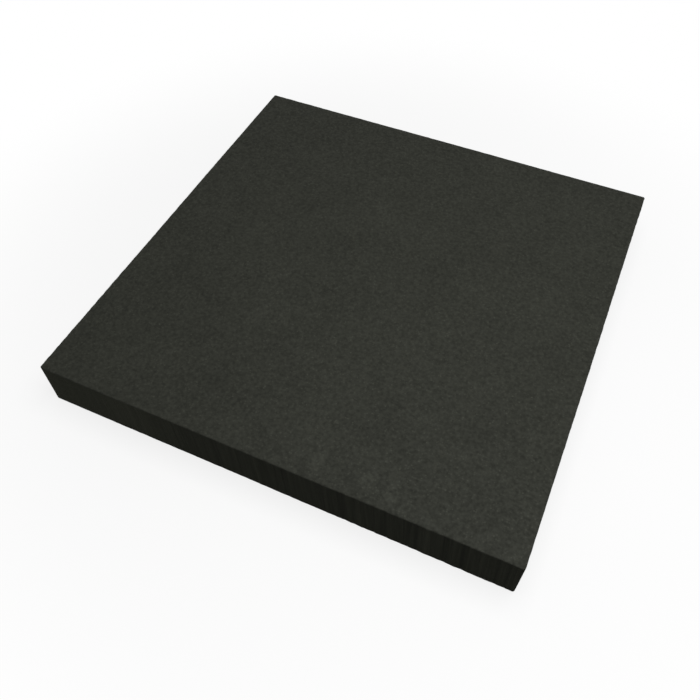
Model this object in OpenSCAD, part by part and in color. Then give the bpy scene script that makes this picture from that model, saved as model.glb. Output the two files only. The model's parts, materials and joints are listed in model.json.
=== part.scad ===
// Balance pad: a flat square slab of black closed-cell foam to stand on during balance exercises.
// Four foam plies are stacked with a bond film between each pair, and a dense moulded skin closes
// the top and the underside. The bonded stack is then trimmed square in one cut, so every layer
// shares the same four upright sides.
// Millimetres, +Z up. The origin is the centre of the underside, and the front side faces -Y.

/* [Pad] */
// Side of the square pad
pad_side = 450; // [360:5:540]
// Thickness of the whole pad, both skins included
pad_thickness = 50; // [40:1:60]

/* [Trimmed edges] */
// Radius of the four upright corners
corner_radius = 2; // [1.8:0.1:8]
// Round-over along the top rim and the bottom rim
rim_radius = 0.8; // [0.3:0.1:0.8]

/* [Layers] */
// Thickness of the moulded skin on the top and on the underside
skin_thickness = 1; // [1:0.1:2]
// Thickness of the bond film between two plies
film_thickness = 0.2; // [0.1:0.05:0.4]

/* [Hidden] */

// Smoothness of the round edges
$fn = 64;

// The plies share what the skins and the films leave of the thickness
ply_count = 4;
film_count = ply_count - 1;
ply_thickness = (pad_thickness - 2 * skin_thickness - film_count * film_thickness) / ply_count;
layer_pitch = ply_thickness + film_thickness;

// Height of a ply's lower face and of the film on top of that ply, counted from 0 at the bottom
function ply_floor(level) = skin_thickness + level * layer_pitch;
function film_floor(level) = ply_floor(level) + ply_thickness;

// The straight run of each side, between two upright corners
side_run = pad_side - 2 * corner_radius;

skin_colour = "#353630";
foam_colour = "#1b1c18";
film_colour = "#2c2c28";

// Section through one side, from where the corner radius starts out to the cut face
module side_section() {
    translate([0, rim_radius])
        square([corner_radius, pad_thickness - 2 * rim_radius]);
    square([corner_radius - rim_radius, pad_thickness]);
    for (height = [rim_radius, pad_thickness - rim_radius])
        translate([corner_radius - rim_radius, height])
            circle(r = rim_radius);
}

// Outer form of the whole pad: a square middle, four sides and four upright corners
module trimmed_block() {
    linear_extrude(pad_thickness)
        square(side_run, center = true);
    for (turn = [0 : 90 : 270])
        rotate(turn) {
            translate([side_run / 2, 0, 0])
                rotate([90, 0, 0])
                    linear_extrude(side_run, center = true)
                        side_section();
            translate([side_run / 2, side_run / 2, 0])
                rotate_extrude(angle = 90)
                    side_section();
        }
}

// The slice of the trimmed block that one layer fills
module layer(height, thickness) {
    intersection() {
        trimmed_block();
        translate([-pad_side, -pad_side, height])
            cube([2 * pad_side, 2 * pad_side, thickness]);
    }
}

// Dense grained skin on the face that lies on the floor
module bottom_skin() {
    color(skin_colour)
        layer(0, skin_thickness);
}

// Soft closed-cell foam ply
module foam_ply(level) {
    color(foam_colour)
        layer(ply_floor(level), ply_thickness);
}

// Adhesive film that holds a ply to the one above it
module bond_film(level) {
    color(film_colour)
        layer(film_floor(level), film_thickness);
}

// Dense grained skin on the face that is stood on
module top_skin() {
    color(skin_colour)
        layer(pad_thickness - skin_thickness, skin_thickness);
}

bottom_skin();
foam_ply(0);  // bottom_ply
bond_film(0);  // lower_bond_film
foam_ply(1);  // lower_middle_ply
bond_film(1);  // middle_bond_film
foam_ply(2);  // upper_middle_ply
bond_film(2);  // upper_bond_film
foam_ply(3);  // top_ply
top_skin();
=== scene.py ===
import json
import math

import bpy
import numpy as np
from mathutils import Matrix, Vector


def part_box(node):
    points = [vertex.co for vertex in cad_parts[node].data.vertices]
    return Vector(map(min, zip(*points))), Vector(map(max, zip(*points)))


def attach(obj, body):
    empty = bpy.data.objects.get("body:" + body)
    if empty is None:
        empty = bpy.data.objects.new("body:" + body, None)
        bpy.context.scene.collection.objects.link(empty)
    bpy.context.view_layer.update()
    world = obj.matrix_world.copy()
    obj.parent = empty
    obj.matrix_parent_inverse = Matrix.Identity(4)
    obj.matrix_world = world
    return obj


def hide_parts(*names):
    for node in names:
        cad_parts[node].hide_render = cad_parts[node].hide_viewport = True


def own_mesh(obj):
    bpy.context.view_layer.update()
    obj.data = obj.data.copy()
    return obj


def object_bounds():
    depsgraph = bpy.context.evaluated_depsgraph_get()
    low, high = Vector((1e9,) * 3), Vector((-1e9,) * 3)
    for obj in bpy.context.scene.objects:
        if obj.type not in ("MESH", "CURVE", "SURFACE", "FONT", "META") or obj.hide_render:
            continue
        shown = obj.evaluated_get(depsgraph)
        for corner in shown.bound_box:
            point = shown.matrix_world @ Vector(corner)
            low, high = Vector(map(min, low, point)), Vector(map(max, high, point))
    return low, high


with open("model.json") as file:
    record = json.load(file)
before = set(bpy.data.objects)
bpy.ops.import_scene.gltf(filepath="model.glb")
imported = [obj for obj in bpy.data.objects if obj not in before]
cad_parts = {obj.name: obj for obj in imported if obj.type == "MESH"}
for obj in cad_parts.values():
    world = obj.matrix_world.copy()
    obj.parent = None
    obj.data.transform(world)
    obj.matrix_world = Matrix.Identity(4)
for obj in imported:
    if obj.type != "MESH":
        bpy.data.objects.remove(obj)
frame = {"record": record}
cad_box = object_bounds()

# Foam plies
# Four sheets of soft black closed-cell foam, bonded face to face into one slab. An upright blade then
# trims the slab square, a side at a time, and leaves cut cells and fine upright knife marks.
ply_names = ["bottom_ply", "lower_middle_ply", "upper_middle_ply", "top_ply"]
pad_side = (cad_box[1] - cad_box[0]).x
corner_radius = 0.002
corner_steps = 8
column_width = 0.0003
ply_rows = 6
crisp_angle = math.radians(50)
# Each kind of knife mark has its period along the cut and its reach in and out
knife_marks = {"chatter": (0.0080, 0.00020), "drag": (0.0030, 0.00014), "teeth": (0.0013, 0.00006)}
wander_period, wander_reach = 0.15, 0.00030
blade_lean = math.radians(2.5)
mark_change = 0.02
first_bite, last_bite = 0.7, 1.7
# Carbon black with a trace of olive, and how light it is at the two ends of the cut foam's range
cut_hue = (0.955, 1.0, 0.735)
cut_foam_tones = (0.0108, 0.061)
# Where a spot of the cut lies in that range: an even part, and the share of each pattern, with its width
even_cut = 0.15
groove_share = 0.20
nick_width, nick_detail, nick_share = 0.0016, 2.0, 0.17
shade_width, shade_detail, shade_share = 0.04, 1.0, 0.18
# Painted sheen: each side is painted paler toward where its cut starts, in place of a grazing sheen
painted_sheen_share = 0.40
cell_width, cell_share = 0.0006, 0.1
pit_strength, pit_depth = 0.5, 0.0004
foam_roughness, foam_gloss = 0.95, 0.05
# Each piece carries its own map under this name. On a layer's map the cut sides lie in rows,
# one length of them above the other, and the two bonded faces share the rest.
map_name = "OFBake"
map_rows, row_gap, end_gap, sides_share = 16, 0.06, 0.004, 0.95


def add(tree, kind, feeds=None, **settings):
    """Adds a node: settings are its own properties, feeds are its inputs, by name or by number."""
    node = tree.nodes.new(kind)
    for key, value in settings.items():
        setattr(node, key, value)
    for key, value in (feeds or {}).items():
        if isinstance(value, bpy.types.NodeSocket):
            tree.links.new(value, node.inputs[key])
        else:
            node.inputs[key].default_value = value
    return node


def reckon(tree, operation, *terms):
    """The result of one Math node."""
    return add(tree, "ShaderNodeMath", dict(enumerate(terms)), operation=operation).outputs[0]


def reckon_vector(tree, operation, *terms):
    """The result of one Vector Math node."""
    node = add(tree, "ShaderNodeVectorMath", dict(enumerate(terms)), operation=operation)
    return node.outputs["Value" if operation in ("DOT_PRODUCT", "LENGTH") else "Vector"]


def swing(tree, place, width, detail=0.0):
    """Smooth noise about zero, from -1 to 1, with swells of about the given width."""
    noise = add(tree, "ShaderNodeTexNoise", {"Vector": place, "Scale": 1 / width, "Detail": detail})
    return reckon(tree, "MULTIPLY_ADD", noise.outputs[0], 2.0, -1.0)


def new_tree(name, inputs, outputs):
    """An empty geometry tree with named inputs and outputs."""
    tree = bpy.data.node_groups.new(name, "GeometryNodeTree")
    for label, kind in inputs.items():
        tree.interface.new_socket(label, in_out="INPUT", socket_type=kind)
    for label, kind in outputs.items():
        tree.interface.new_socket(label, in_out="OUTPUT", socket_type=kind)
    return tree, add(tree, "NodeGroupInput").outputs


def knife_cut_tree():
    """Where the blade left each point of the four sides: a little in or out, more so as each cut goes on."""
    tree, given = new_tree("knife cut", {
        "Side": "NodeSocketFloat", "Corner Radius": "NodeSocketFloat"}, {
        "Offset": "NodeSocketVector", "Path": "NodeSocketVector",
        "Groove": "NodeSocketFloat", "Bite": "NodeSocketFloat"})
    place = add(tree, "GeometryNodeInputPosition").outputs[0]
    half = reckon(tree, "MULTIPLY", given["Side"], 0.5)
    core = reckon(tree, "SUBTRACT", half, given["Corner Radius"])
    high = add(tree, "ShaderNodeCombineXYZ", {0: core, 1: core, 2: 1.0}).outputs[0]
    low = reckon_vector(tree, "MULTIPLY", high, (-1.0, -1.0, -1.0))
    inner = reckon_vector(tree, "MAXIMUM", reckon_vector(tree, "MINIMUM", place, high), low)
    outward = reckon_vector(tree, "NORMALIZE", reckon_vector(tree, "SUBTRACT", place, inner))
    ahead = reckon_vector(tree, "CROSS_PRODUCT", (0.0, 0.0, 1.0), outward)
    run = reckon(tree, "DIVIDE", reckon_vector(tree, "DOT_PRODUCT", inner, ahead), half)
    wear = reckon(tree, "MULTIPLY_ADD", run, 0.5, 0.5)
    bite = reckon(tree, "MULTIPLY_ADD", wear, last_bite - first_bite, first_bite)
    upright = reckon_vector(tree, "MULTIPLY", inner, (1.0, 1.0, mark_change))
    slant = reckon_vector(tree, "DOT_PRODUCT", place, (0.0, 0.0, math.tan(blade_lean)))
    path = reckon_vector(tree, "MULTIPLY_ADD", ahead, slant, upright)
    marks = 0.0
    for period, reach in knife_marks.values():
        marks = reckon(tree, "MULTIPLY_ADD", swing(tree, path, period), reach, marks)
    depth = reckon(tree, "MULTIPLY", marks, bite)
    full_depth = sum(reach for period, reach in knife_marks.values())
    out = reckon(tree, "MULTIPLY_ADD", swing(tree, path, wander_period), wander_reach, depth)
    add(tree, "NodeGroupOutput", {
        "Offset": reckon_vector(tree, "MULTIPLY", outward, out), "Path": path,
        "Groove": reckon(tree, "DIVIDE", depth, full_depth), "Bite": bite})
    return tree


def crisp(tree, geometry):
    """Smooth faces that meet in a sharp line wherever the sheet turns a corner."""
    smooth = add(tree, "GeometryNodeSetShadeSmooth", {"Geometry": geometry, "Shade Smooth": True})
    turn = add(tree, "GeometryNodeInputMeshEdgeAngle").outputs["Unsigned Angle"]
    corner = reckon(tree, "GREATER_THAN", turn, crisp_angle)
    sharp = add(tree, "GeometryNodeSetShadeSmooth", {
        "Geometry": smooth.outputs[0], "Selection": corner, "Shade Smooth": False}, domain="EDGE")
    return sharp.outputs[0]


def finished(tree, geometry, finish, label):
    """Ends a tree: real geometry that wears its finish."""
    real = add(tree, "GeometryNodeRealizeInstances", {"Geometry": crisp(tree, geometry)})
    worn = add(tree, "GeometryNodeSetMaterial", {"Geometry": real.outputs[0], "Material": finish})
    add(tree, "NodeGroupOutput", {label: worn.outputs[0]})


def side_map(tree, drum):
    """Where each corner of a layer lies on its map: the sides in rows, and the bonded faces past them."""
    # On the drum's own map the sides fill the upper half, and the faces the lower one
    drum_map = add(tree, "ShaderNodeSeparateXYZ", {0: drum.outputs["UV Map"]}).outputs
    around, up = drum_map["X"], drum_map["Y"]
    length = reckon(tree, "MULTIPLY", around, float(map_rows))
    of_face = add(tree, "GeometryNodeFieldOnDomain", {"Value": length}, data_type="FLOAT", domain="FACE")
    row = reckon(tree, "FLOOR", of_face.outputs[0])
    along = reckon(tree, "MULTIPLY_ADD", reckon(tree, "SUBTRACT", length, row), 1 - 2 * end_gap, end_gap)
    rise = reckon(tree, "MULTIPLY_ADD", up, 2.0, -1.0)
    in_row = reckon(tree, "MULTIPLY_ADD", rise, 1 - 2 * row_gap, row_gap)
    level = reckon(tree, "MULTIPLY", reckon(tree, "ADD", row, in_row), sides_share / map_rows)
    rest = reckon(tree, "MULTIPLY_ADD", up, 2 * (1 - sides_share), sides_share)
    on_side = add(tree, "ShaderNodeCombineXYZ", {0: along, 1: level}).outputs[0]
    on_face = add(tree, "ShaderNodeCombineXYZ", {0: around, 1: rest}).outputs[0]
    return add(tree, "GeometryNodeSwitch", {
        "Switch": drum.outputs["Side"], "False": on_face, "True": on_side}, input_type="VECTOR").outputs[0]


def layer_tree(knife_cut):
    """One layer of the slab, cut to the pad's outline: upright columns and two flat faces."""
    tree, given = new_tree("trimmed layer", {
        "Side": "NodeSocketFloat", "Corner Radius": "NodeSocketFloat", "Floor": "NodeSocketFloat",
        "Thickness": "NodeSocketFloat", "Columns": "NodeSocketInt", "Rows": "NodeSocketInt",
        "Finish": "NodeSocketMaterial"}, {"Layer": "NodeSocketGeometry"})
    square = add(tree, "GeometryNodeCurvePrimitiveQuadrilateral",
                 {"Width": given["Side"], "Height": given["Side"]}, mode="RECTANGLE")
    outline = add(tree, "GeometryNodeFilletCurve", {
        "Curve": square.outputs[0], "Count": corner_steps, "Radius": given["Corner Radius"]}, mode="POLY")
    drum = add(tree, "GeometryNodeMeshCylinder", {
        "Vertices": given["Columns"], "Side Segments": given["Rows"], "Radius": 1.0,
        "Depth": given["Thickness"]}, fill_type="NGON")
    place = add(tree, "GeometryNodeInputPosition").outputs[0]
    x, y, z = add(tree, "ShaderNodeSeparateXYZ", {0: place}).outputs
    turn = reckon(tree, "DIVIDE", reckon(tree, "ARCTAN2", y, x), 2 * math.pi)
    on_outline = add(tree, "GeometryNodeSampleCurve", {
        "Curves": outline.outputs[0], "Factor": reckon(tree, "FRACT", turn)},
        mode="FACTOR", use_all_curves=True)
    middle = reckon(tree, "MULTIPLY_ADD", given["Thickness"], 0.5, given["Floor"])
    height = add(tree, "ShaderNodeCombineXYZ", {2: reckon(tree, "ADD", z, middle)}).outputs[0]
    spot = reckon_vector(tree, "ADD", on_outline.outputs["Position"], height)
    mapped = add(tree, "GeometryNodeStoreNamedAttribute", {
        "Geometry": drum.outputs["Mesh"], "Name": map_name, "Value": side_map(tree, drum)},
        data_type="FLOAT2", domain="CORNER")
    layer = add(tree, "GeometryNodeSetPosition", {"Geometry": mapped.outputs[0], "Position": spot})
    marks = add(tree, "GeometryNodeGroup", node_tree=knife_cut)
    for label in ("Side", "Corner Radius"):
        tree.links.new(given[label], marks.inputs[label])
    # The finish reads these again, point by point
    for name, label, kind in (("groove", "Groove", "FLOAT"), ("bite", "Bite", "FLOAT"),
                              ("blade_path", "Path", "FLOAT_VECTOR")):
        layer = add(tree, "GeometryNodeStoreNamedAttribute", {
            "Geometry": layer.outputs[0], "Name": name, "Value": marks.outputs[label]},
            data_type=kind, domain="POINT")
    cut = add(tree, "GeometryNodeSetPosition", {
        "Geometry": layer.outputs[0], "Offset": marks.outputs["Offset"]})
    finished(tree, cut.outputs[0], given["Finish"], "Layer")
    return tree


def made_by(tree, piece, values):
    """Runs a tree on a piece and keeps the result as the piece's own plain mesh."""
    maker = piece.modifiers.new("maker", "NODES")
    maker.node_group = tree
    for socket in tree.interface.items_tree:
        if socket.in_out == "INPUT" and socket.name in values:
            maker[socket.identifier] = values[socket.name]
    ready = piece.evaluated_get(bpy.context.evaluated_depsgraph_get())
    mesh = bpy.data.meshes.new_from_object(ready)
    if mesh.materials[0] is None:
        mesh.materials.pop(index=0)
    piece.modifiers.remove(maker)
    piece.data = mesh
    mesh.name = piece.name
    return piece


def new_piece(name, mesh=None):
    """An object of the scene, at the origin."""
    piece = bpy.data.objects.new(name, mesh or bpy.data.meshes.new(name))
    bpy.context.scene.collection.objects.link(piece)
    return piece


def new_finish(name, roughness, gloss):
    """A material with one shader, its evenly rough and glossy sockets set, and nothing else yet."""
    finish = bpy.data.materials.new(name)
    finish.use_nodes = True
    tree = finish.node_tree
    tree.nodes.clear()
    shader = add(tree, "ShaderNodeBsdfPrincipled", {"Roughness": roughness, "Specular IOR Level": gloss})
    add(tree, "ShaderNodeOutputMaterial", {"Surface": shader.outputs[0]})
    return finish, tree, shader.inputs


def own_place(tree):
    """The piece's own coordinates, in metres."""
    return add(tree, "ShaderNodeTexCoord").outputs["Object"]


def read_field(tree, name, kind="Fac"):
    """What the mesh keeps for each point under a name."""
    return add(tree, "ShaderNodeAttribute", attribute_name=name).outputs[kind]


def black(tree, light, tones, hue):
    """The black of one hue between two tones, for a light from 0 to 1."""
    node = add(tree, "ShaderNodeValToRGB", {"Fac": light})
    for element, tone in zip(node.color_ramp.elements, tones):
        element.color = (*(tone * part for part in hue), 1.0)
    return node.outputs[0]


def fade(tree, value, start, end):
    """One at the start, and nothing from the end on."""
    return add(tree, "ShaderNodeMapRange", {
        "Value": value, "From Min": start, "From Max": end, "To Min": 1.0, "To Max": 0.0},
        interpolation_type="SMOOTHSTEP").outputs[0]


def cut_light(tree):
    """How light the cut looks: by its nicks, grooves and broad shades, and paler where the cut starts, as a
    painted sheen.
    """
    path = read_field(tree, "blade_path", "Vector")
    bite = read_field(tree, "bite")
    nicks = reckon(tree, "MULTIPLY", swing(tree, path, nick_width, nick_detail), bite)
    light = reckon(tree, "MULTIPLY_ADD", nicks, nick_share, even_cut)
    light = reckon(tree, "MULTIPLY_ADD", read_field(tree, "groove"), groove_share, light)
    light = reckon(tree, "MULTIPLY_ADD", swing(tree, path, shade_width, shade_detail), shade_share, light)
    # Painted sheen: paler toward where each side's cut starts
    painted_sheen = fade(tree, bite, first_bite, (first_bite + last_bite) / 2)
    return reckon(tree, "MULTIPLY_ADD", painted_sheen, painted_sheen_share, light)


def cut_foam_finish():
    """Knife-cut closed-cell foam: dead matt, pitted with cut cells."""
    finish, tree, sockets = new_finish("cut foam", foam_roughness, foam_gloss)
    cells = add(tree, "ShaderNodeTexVoronoi", {"Vector": own_place(tree), "Scale": 1 / cell_width})
    hollow = cells.outputs["Distance"]
    light = reckon(tree, "MULTIPLY_ADD", hollow, cell_share, cut_light(tree))
    tree.links.new(black(tree, light, cut_foam_tones, cut_hue), sockets["Base Color"])
    pits = add(tree, "ShaderNodeBump", {"Height": hollow, "Strength": pit_strength, "Distance": pit_depth})
    tree.links.new(pits.outputs[0], sockets["Normal"])
    return finish


knife_cut = knife_cut_tree()
layer_maker = layer_tree(knife_cut)
cut_foam = cut_foam_finish()
bodies = frame["record"]["behaviour"]["bodies"]
body_of_node = {node: body for body, nodes in bodies.items() for node in nodes}


def trimmed_layer(name, rows, finish):
    """A layer of the stack as the blade left it, in the place of its solid."""
    low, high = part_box(name)
    piece = made_by(layer_maker, new_piece(name + "_trimmed"), {
        "Side": pad_side, "Corner Radius": corner_radius, "Floor": low.z, "Thickness": high.z - low.z,
        "Columns": round(4 * pad_side / column_width), "Rows": rows, "Finish": finish})
    body = body_of_node[name]
    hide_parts(name)
    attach(piece, body)
    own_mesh(piece)
    return piece


for name in ply_names:
    ply = trimmed_layer(name, ply_rows, cut_foam)

# Bond films
# Three films of flexible black adhesive, a fifth of a millimetre thick, rolled on to join two plies.
# Only their edges show, as hairlines that the blade left flush with the foam.
film_names = ["lower_bond_film", "middle_bond_film", "upper_bond_film"]
film_rows = 1
film_tones = (0.0125, 0.063)
film_roughness, film_gloss = 0.85, 0.08


def bond_film_finish():
    """Cured rubbery adhesive: as black as the foam, but solid and a little smoother."""
    finish, tree, sockets = new_finish("bond film", film_roughness, film_gloss)
    tree.links.new(black(tree, cut_light(tree), film_tones, cut_hue), sockets["Base Color"])
    return finish


bond_film = bond_film_finish()
for name in film_names:
    film = trimmed_layer(name, film_rows, bond_film)

# Skins
# A dense skin of the same foam, a millimetre thick, closes the pad above and below. It is moulded against
# a finely grained plate, so its face is even, satin and slightly pebbled, and its rim is barely eased.
rim_radius = 0.0008
rim_lines, rim_crowding = 7, 1.7
grid_pitch = 0.0016
# How much of a skin's map each of its faces takes
outer_share, bonded_share = 0.97, 0.02
# The moulded relief of the face
swell_width, swell_detail, swell_depth = 0.025, 1.0, 0.00015
pebble_width, pebble_depth = 0.0043, 0.00006
# A black a little greyer than the cut foam's, shared out among its patterns in the same way
skin_hue = (0.957, 1.0, 0.80)
skin_tones = (0.0165, 0.0490)
even_skin = 0.41
grain_width, grain_detail, grain_share = 0.0030, 1.0, 0.46
grain_strength, grain_depth = 0.4, 0.0003
pore_width, pore_contrast, pore_share = 0.0019, 4.0, 0.95
pore_heart, pore_edge = 0.1, 0.65
pore_strength, pore_depth = 0.2, 0.0002
cloud_width, cloud_detail, cloud_share = 0.05, 1.0, 0.15
skin_roughness, skin_gloss = 0.60, 0.05
grain_roughness = 0.15
# Small pale scuffs near the front of the top face
scuff_places = [(0.043, -0.207), (0.089, -0.205), (0.110, -0.209)]
scuff_reach = (0.010, 0.015, 0.010)
smear_width, smear_detail = 0.005, 2.0
smear_faint, smear_full = -0.4, 0.3
scuff_share = 0.5


def edge_distances():
    """How far each grid line lies from the side it runs along: close together at the rim, then even."""
    rim = corner_radius * (np.arange(rim_lines) / rim_lines) ** rim_crowding
    even_count = round((pad_side / 2 - corner_radius) / grid_pitch) + 1
    return np.concatenate([rim, np.linspace(corner_radius, pad_side / 2, even_count)])


def skin_blank(name, face_up):
    """A closed sheet with a fine grid on its outer face, an eased rim and a flat bonded face."""
    low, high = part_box(name)
    half = pad_side / 2
    inset = edge_distances()
    lines = np.concatenate([inset - half, (half - inset)[-2::-1]])
    count = len(lines)
    x, y = np.meshgrid(lines, lines, indexing="ij")
    core = half - corner_radius
    core_x, core_y = np.clip(x, -core, core), np.clip(y, -core, core)
    out_x, out_y = x - core_x, y - core_y
    # Square rings of the grid become round ones at the upright corners
    ring = np.maximum(abs(out_x), abs(out_y))
    reach = np.hypot(out_x, out_y)
    stretch = np.divide(ring, reach, out=np.zeros_like(ring), where=reach > 0)
    short = np.clip(rim_radius - (corner_radius - ring), 0, rim_radius)
    drop = rim_radius - np.sqrt(rim_radius ** 2 - short ** 2)
    face = np.stack([core_x + out_x * stretch, core_y + out_y * stretch, -drop], axis=2).reshape(-1, 3)
    grid = np.arange(count * count).reshape(count, count)
    quads = np.stack([grid[:-1, :-1], grid[1:, :-1], grid[1:, 1:], grid[:-1, 1:]], axis=2).reshape(-1, 4)
    edge = np.concatenate([grid[:-1, 0], grid[-1, :-1], grid[:0:-1, -1], grid[0, :0:-1]])
    foot = face[edge] * (1, 1, 0) + (0, 0, low.z - high.z)
    below = count * count + np.arange(len(edge))
    wall = np.stack([edge, below, np.roll(below, -1), np.roll(edge, -1)], axis=1)
    points = np.concatenate([face, foot])
    faces = [*quads.tolist(), *wall.tolist(), below[::-1].tolist()]
    if face_up:
        points += (0, 0, high.z)
    else:
        points = points * (1, 1, -1) + (0, 0, low.z)
        faces = [loop[::-1] for loop in faces]
    mesh = bpy.data.meshes.new(name)
    mesh.from_pydata(points.tolist(), [], faces)
    # Its map is the face as seen from above, with the bonded face small in a corner
    spots = (points[np.concatenate(faces), :2] / pad_side + 0.5) * outer_share
    bonded = spots[-len(edge):]
    bonded[:] = 1 - bonded_share * (1 - bonded)
    mesh.uv_layers.new(name=map_name).uv.foreach_set("vector", spots.ravel())
    return mesh


def skin_tree(knife_cut):
    """The moulded relief of the skin's face, and the blade's marks along its rim."""
    tree, given = new_tree("moulded skin", {
        "Blank": "NodeSocketGeometry", "Side": "NodeSocketFloat", "Corner Radius": "NodeSocketFloat",
        "Inward": "NodeSocketVector", "Swell": "NodeSocketFloat", "Pebble": "NodeSocketFloat",
        "Finish": "NodeSocketMaterial"}, {"Skin": "NodeSocketGeometry"})
    place = add(tree, "GeometryNodeInputPosition").outputs[0]
    swell = reckon(tree, "MULTIPLY", swing(tree, place, swell_width, swell_detail), given["Swell"])
    relief = reckon(tree, "MULTIPLY_ADD", swing(tree, place, pebble_width), given["Pebble"], swell)
    deepest = reckon(tree, "ADD", given["Swell"], given["Pebble"])
    sunk = reckon(tree, "MULTIPLY", reckon(tree, "ADD", relief, deepest), 0.5)
    normal = add(tree, "GeometryNodeInputNormal").outputs[0]
    facing_in = reckon_vector(tree, "DOT_PRODUCT", normal, given["Inward"])
    outer = reckon(tree, "MAXIMUM", reckon(tree, "MULTIPLY", facing_in, -1.0), 0.0)
    dip = reckon_vector(tree, "MULTIPLY", given["Inward"], reckon(tree, "MULTIPLY", sunk, outer))
    marks = add(tree, "GeometryNodeGroup", node_tree=knife_cut)
    for label in ("Side", "Corner Radius"):
        tree.links.new(given[label], marks.inputs[label])
    moved = add(tree, "GeometryNodeSetPosition", {
        "Geometry": given["Blank"], "Offset": reckon_vector(tree, "ADD", dip, marks.outputs["Offset"])})
    finished(tree, moved.outputs[0], given["Finish"], "Skin")
    return tree


def skin_finish():
    """Dense satin foam skin: finely grained, slightly clouded, and paler where it is scuffed."""
    finish, tree, sockets = new_finish("satin skin", skin_roughness, skin_gloss)
    place = own_place(tree)
    grain = swing(tree, place, grain_width, grain_detail)
    pores = add(tree, "ShaderNodeTexVoronoi", {"Vector": place, "Scale": 1 / pore_width}).outputs
    # Most pores are dark, and a few stand out as round specks
    pale = reckon(tree, "POWER", pores["Color"], pore_contrast)
    speck = reckon(tree, "MULTIPLY", pale, fade(tree, pores["Distance"], pore_heart, pore_edge))
    smears = fade(tree, swing(tree, place, smear_width, smear_detail), smear_full, smear_faint)
    scuffs = 0.0
    for x, y in scuff_places:
        in_scuff = add(tree, "ShaderNodeMapping", {
            "Vector": place, "Location": (x, y, cad_box[1].z), "Scale": scuff_reach}, vector_type="TEXTURE")
        near = fade(tree, reckon_vector(tree, "LENGTH", in_scuff.outputs[0]), 0.0, 1.0)
        scuffs = reckon(tree, "MAXIMUM", near, scuffs)
    light = reckon(tree, "MULTIPLY_ADD", grain, grain_share, even_skin)
    light = reckon(tree, "MULTIPLY_ADD", speck, pore_share, light)
    light = reckon(tree, "MULTIPLY_ADD", swing(tree, place, cloud_width, cloud_detail), cloud_share, light)
    light = reckon(tree, "MULTIPLY_ADD", reckon(tree, "MULTIPLY", scuffs, smears), scuff_share, light)
    tree.links.new(black(tree, light, skin_tones, skin_hue), sockets["Base Color"])
    dull = reckon(tree, "MULTIPLY_ADD", grain, -grain_roughness, skin_roughness)
    tree.links.new(dull, sockets["Roughness"])
    dents = add(tree, "ShaderNodeBump", {
        "Height": pores["Distance"], "Strength": pore_strength, "Distance": pore_depth})
    pebbles = add(tree, "ShaderNodeBump", {
        "Height": grain, "Strength": grain_strength, "Distance": grain_depth, "Normal": dents.outputs[0]})
    tree.links.new(pebbles.outputs[0], sockets["Normal"])
    return finish


skin_maker = skin_tree(knife_cut)
satin_skin = skin_finish()
for name, face_up in (("bottom_skin", False), ("top_skin", True)):
    skin = new_piece(name + "_moulded", skin_blank(name, face_up))
    made_by(skin_maker, skin, {
        "Side": pad_side, "Corner Radius": corner_radius, "Inward": (0.0, 0.0, -1.0 if face_up else 1.0),
        "Swell": swell_depth, "Pebble": pebble_depth, "Finish": satin_skin})
    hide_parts(name)
    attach(skin, body_of_node[name])

# Floor and light
# A plain pale floor that carries the pad, one soft lamp overhead and an even surround. Floor and surround
# look white to the eye and in a reflection, and the floor is only shaded close to the pad.
floor_size = 12.0
white = (1.0, 1.0, 1.0, 1.0)
paper_white = (0.95, 0.95, 0.95, 1.0)
bounce_grey = (0.3, 0.3, 0.3, 1.0)
surround_level = 0.3
shadow_share, shadow_start, shadow_end = 0.2, 0.25, 0.55
lamp_place, lamp_aim = Vector((0.20, -0.07, 0.80)), Vector((0.20, -0.07, 0.0))
lamp_width, lamp_power = 0.5, 4.8


def seen_directly(tree):
    """One for a ray that shows the surface to the eye, straight or in a reflection, and else nothing."""
    rays = add(tree, "ShaderNodeLightPath").outputs
    seen = reckon(tree, "MAXIMUM", rays["Is Camera Ray"], rays["Is Glossy Ray"])
    return reckon(tree, "MAXIMUM", seen, rays["Is Transmission Ray"])


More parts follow.
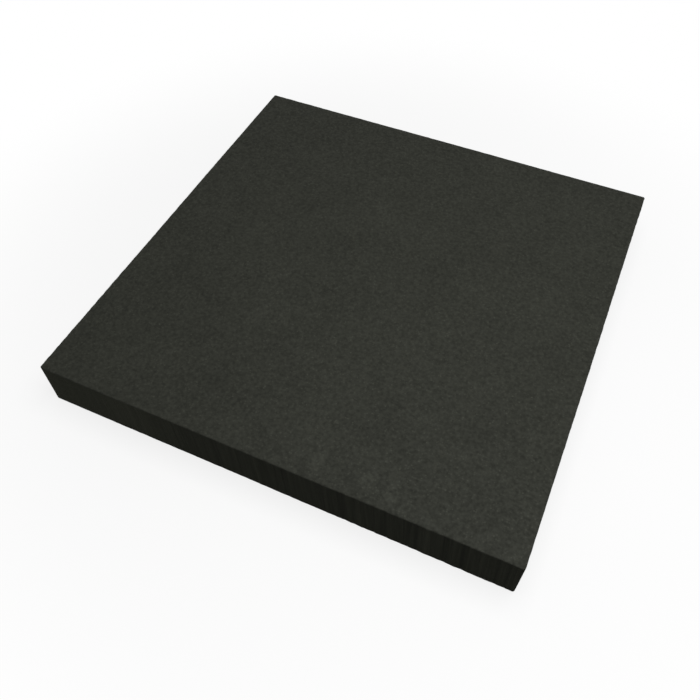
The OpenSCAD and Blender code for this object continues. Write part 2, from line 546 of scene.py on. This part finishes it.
def floor_finish():
    """White paper under the pad: it glows where it is seen, and takes the pad's shadow close by."""
    finish = bpy.data.materials.new("pale floor")
    finish.use_nodes = True
    tree = finish.node_tree
    tree.nodes.clear()
    glow = add(tree, "ShaderNodeEmission", {"Color": white, "Strength": 1.0})
    paper = add(tree, "ShaderNodeBsdfDiffuse", {"Color": paper_white})
    from_pad = reckon_vector(tree, "LENGTH", own_place(tree))
    shaded = reckon(tree, "MULTIPLY", fade(tree, from_pad, shadow_start, shadow_end), shadow_share)
    face = add(tree, "ShaderNodeMixShader", {0: shaded, 1: glow.outputs[0], 2: paper.outputs[0]})
    bounce = add(tree, "ShaderNodeBsdfDiffuse", {"Color": bounce_grey})
    ground = add(tree, "ShaderNodeMixShader", {
        0: seen_directly(tree), 1: bounce.outputs[0], 2: face.outputs[0]})
    add(tree, "ShaderNodeOutputMaterial", {"Surface": ground.outputs[0]})
    return finish


reach = floor_size / 2
floor_corners = [(-reach, -reach, 0), (reach, -reach, 0), (reach, reach, 0), (-reach, reach, 0)]
floor_mesh = bpy.data.meshes.new("floor")
floor_mesh.from_pydata(floor_corners, [], [range(4)])
floor_mesh.materials.append(floor_finish())
new_piece("floor", floor_mesh)

surround = bpy.data.worlds.new("surround")
surround.use_nodes = True
tree = surround.node_tree
tree.nodes.clear()
level = add(tree, "ShaderNodeMapRange", {
    "Value": seen_directly(tree), "To Min": surround_level, "To Max": 1.0})
sky = add(tree, "ShaderNodeBackground", {"Color": white, "Strength": level.outputs[0]})
add(tree, "ShaderNodeOutputWorld", {"Surface": sky.outputs[0]})
bpy.context.scene.world = surround

lamp = bpy.data.lights.new("overhead lamp", "AREA")
lamp.size = lamp_width
lamp.energy = lamp_power
holder = bpy.data.objects.new("overhead lamp", lamp)
holder.location = lamp_place
holder.rotation_euler = (lamp_aim - lamp_place).to_track_quat("-Z", "Y").to_euler()
bpy.context.scene.collection.objects.link(holder)

# Camera
# It stands in front of the pad, to the right and well above it, and looks down on the top face. Its lens
# is a little wide.
camera = bpy.data.cameras.new("camera")
camera.sensor_width = 36.0
camera.lens = 38.16
camera_place = Vector((0.1897, -0.4603, 0.5917))
camera_aim = Vector((0.0209, -0.0927, 0.05))
camera_roll = math.radians(-0.231)
level_turn = (camera_aim - camera_place).to_track_quat("-Z", "Y").to_matrix()
turn = level_turn @ Matrix.Rotation(camera_roll, 3, "Z")
stand = bpy.data.objects.new("camera", camera)
stand.matrix_world = Matrix.Translation(camera_place) @ turn.to_4x4()
bpy.context.scene.collection.objects.link(stand)
bpy.context.scene.camera = stand
bpy.context.scene.view_settings.view_transform = "Standard"
